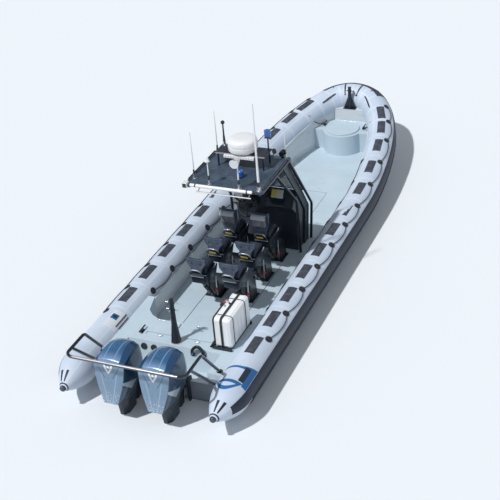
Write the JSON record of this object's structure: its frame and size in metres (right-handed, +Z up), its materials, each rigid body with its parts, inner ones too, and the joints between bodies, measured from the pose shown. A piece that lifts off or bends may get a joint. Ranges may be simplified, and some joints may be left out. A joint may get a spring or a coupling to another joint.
{
  "type": "rigid-hulled inflatable boat with twin outboard motors",
  "caption": "Rigid-hulled inflatable workboat with T-top console, jockey seats, life raft and two tilting, steering outboard motors.",
  "frame": {"origin": "on the centreline at the waterline, amidships", "axes": "+X to the bow, +Y to port, +Z up"},
  "size_m": [10.6396, 3.0908, 4.46],
  "materials": {
    "collar_fabric": "satin coated fabric",
    "hull_moulding": "gloss",
    "deck_moulding": "satin non-slip",
    "black_rubber": "matt",
    "tread_rubber": "textured",
    "black_paint": "satin",
    "console_paint": "satin",
    "screen_glass": "clear",
    "seat_vinyl": "soft vinyl",
    "white_plastic": "gloss",
    "stainless": "brushed",
    "engine_paint": "gloss metallic",
    "engine_black": "satin",
    "bracket_alloy": "satin",
    "beacon_blue": "clear blue lens",
    "bag_cloth": "coated cloth"
  },
  "bodies": {
    "boat": {"tube_port": "collar_fabric", "tube_starboard": "collar_fabric", "cone_end_caps": "black_rubber", "hull": "hull_moulding", "cockpit_sole": "deck_moulding", "aft_deck": "deck_moulding", "bow_locker": "deck_moulding", "well_vents": "black_rubber", "lid_hinges": "stainless", "rubbing_strakes": "black_rubber", "tread_patches": "tread_rubber", "lifeline_pads": "black_rubber", "bow_chafe_cover": "tread_rubber", "tow_post": "black_paint", "bow_post": "black_paint", "mooring_cleats": "black_paint", "console": "console_paint", "console_wings": "console_paint", "ttop_frame": "black_paint", "ttop_roof": "console_paint", "windscreen": "screen_glass", "helm_boss": "engine_black", "ttop_shelf": "black_paint", "radome": "white_plastic", "light_bar": "white_plastic", "work_lamp": "white_plastic", "antennas": "white_plastic", "roof_sensors": "white_plastic", "beacons": "beacon_blue", "seat_bags": "bag_cloth", "seat_pedestals": "black_paint", "seat_cushions": "seat_vinyl", "seat_backrests": "seat_vinyl", "seat_grab_rails": "black_paint", "raft_canister": "white_plastic", "raft_cradle": "black_paint", "engine_guard_rail": "black_paint", "clamp_bracket_port": "bracket_alloy", "clamp_bracket_starboard": "bracket_alloy"},
    "helm_wheel": {"steering_wheel": "engine_black"},
    "locker_lid": {"bow_locker_lid": "deck_moulding"},
    "hatch_port": {"deck_hatch_port": "deck_moulding"},
    "hatch_starboard": {"deck_hatch_starboard": "deck_moulding"},
    "swivel_port": {"swivel_bracket_port": "bracket_alloy"},
    "motor_port": {"cowl_port": "engine_paint", "midsection_port": "engine_black", "gearcase_port": "engine_black"},
    "prop_port": {"propeller_port": "stainless"},
    "swivel_starboard": {"swivel_bracket_starboard": "bracket_alloy"},
    "motor_starboard": {"cowl_starboard": "engine_paint", "midsection_starboard": "engine_black", "gearcase_starboard": "engine_black"},
    "prop_starboard": {"propeller_starboard": "stainless"}
  },
  "joints": [
    {"name": "helm_turn", "type": "hinge", "parent": "boat", "child": "helm_wheel", "pos_m": [-0.31, 0.24, 1.01], "axis": [-0.9063, 0, 0.4226], "range_deg": [-540, 540]},
    {"name": "locker_lid_open", "type": "hinge", "parent": "boat", "child": "locker_lid", "pos_m": [4.46, 0, 0.534], "axis": [0, 1, 0], "range_deg": [0, 85]},
    {"name": "hatch_open_port", "type": "hinge", "parent": "boat", "child": "hatch_port", "pos_m": [-3.358, 0.34, 0.554], "axis": [0, 1, 0], "range_deg": [0, 95]},
    {"name": "hatch_open_starboard", "type": "hinge", "parent": "boat", "child": "hatch_starboard", "pos_m": [-3.358, -0.34, 0.554], "axis": [0, 1, 0], "range_deg": [0, 95]},
    {"name": "tilt_port", "type": "hinge", "parent": "boat", "child": "swivel_port", "pos_m": [-4.445, 0.357, 0.4], "axis": [0, 1, 0], "range_deg": [-4, 66]},
    {"name": "steer_port", "type": "hinge", "parent": "swivel_port", "child": "motor_port", "pos_m": [-4.6, 0.357, 0], "axis": [0, 0, 1], "range_deg": [-30, 30]},
    {"name": "spin_port", "type": "hinge", "parent": "motor_port", "child": "prop_port", "pos_m": [-5.075, 0.357, -0.64], "axis": [1, 0, 0], "continuous": true},
    {"name": "tilt_starboard", "type": "hinge", "parent": "boat", "child": "swivel_starboard", "pos_m": [-4.445, -0.357, 0.4], "axis": [0, 1, 0], "range_deg": [-4, 66]},
    {"name": "steer_starboard", "type": "hinge", "parent": "swivel_starboard", "child": "motor_starboard", "pos_m": [-4.6, -0.357, 0], "axis": [0, 0, 1], "range_deg": [-30, 30]},
    {"name": "spin_starboard", "type": "hinge", "parent": "motor_starboard", "child": "prop_starboard", "pos_m": [-5.075, -0.357, -0.64], "axis": [1, 0, 0], "continuous": true}
  ],
  "couplings": [
    {"joint": "tilt_starboard", "follows": "tilt_port", "ratio": 1},
    {"joint": "steer_port", "follows": "helm_turn", "ratio": -0.055556},
    {"joint": "steer_starboard", "follows": "helm_turn", "ratio": -0.055556}
  ]
}
